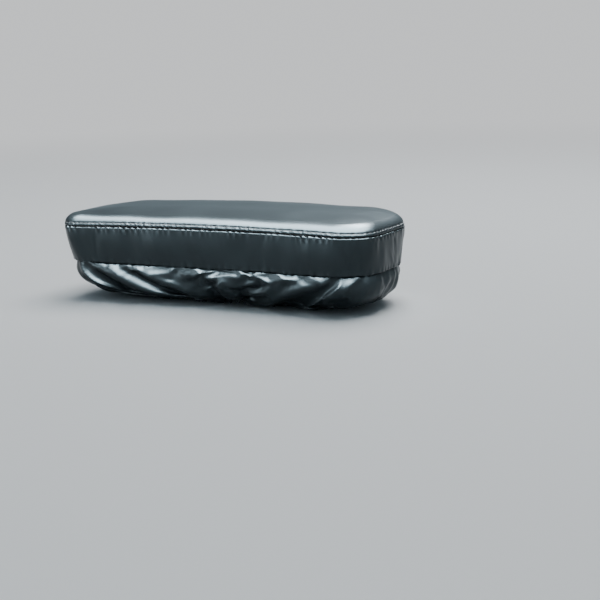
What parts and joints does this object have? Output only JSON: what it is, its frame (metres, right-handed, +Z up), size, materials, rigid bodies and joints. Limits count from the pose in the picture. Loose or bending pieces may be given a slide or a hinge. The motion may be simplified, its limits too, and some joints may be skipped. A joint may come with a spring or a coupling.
{
  "type": "chair armrest pad",
  "caption": "Slip-on chair armrest pad: a boxed foam cushion in glossy black leathercloth with an elastic-hemmed skirt that wraps under the armrest.",
  "frame": {"origin": "under the middle of the pad's box, level with the lowest edge of the hem", "axes": "+X towards the chair's front along the armrest, +Y towards the seat, +Z up"},
  "size_m": [0.2756, 0.1094, 0.073],
  "materials": {
    "leathercloth": "glossy fine-grained black polyurethane leathercloth",
    "comfort_foam": "matt open-cell foam",
    "support_foam": "matt open-cell foam",
    "lining": "matt black woven lining",
    "elastic": "ribbed black elastic",
    "thread": "black polyester thread with a slight sheen"
  },
  "bodies": {
    "root": {"top_panel": "leathercloth", "side_band": "leathercloth", "skirt": "leathercloth", "comfort_foam": "comfort_foam", "support_foam": "support_foam", "bottom_lining": "lining", "hem_elastic": "elastic", "topstitch_thread": "thread", "upper_seam_thread": "thread", "lower_seam_thread": "thread", "hem_thread": "thread"}
  },
  "joints": []
}
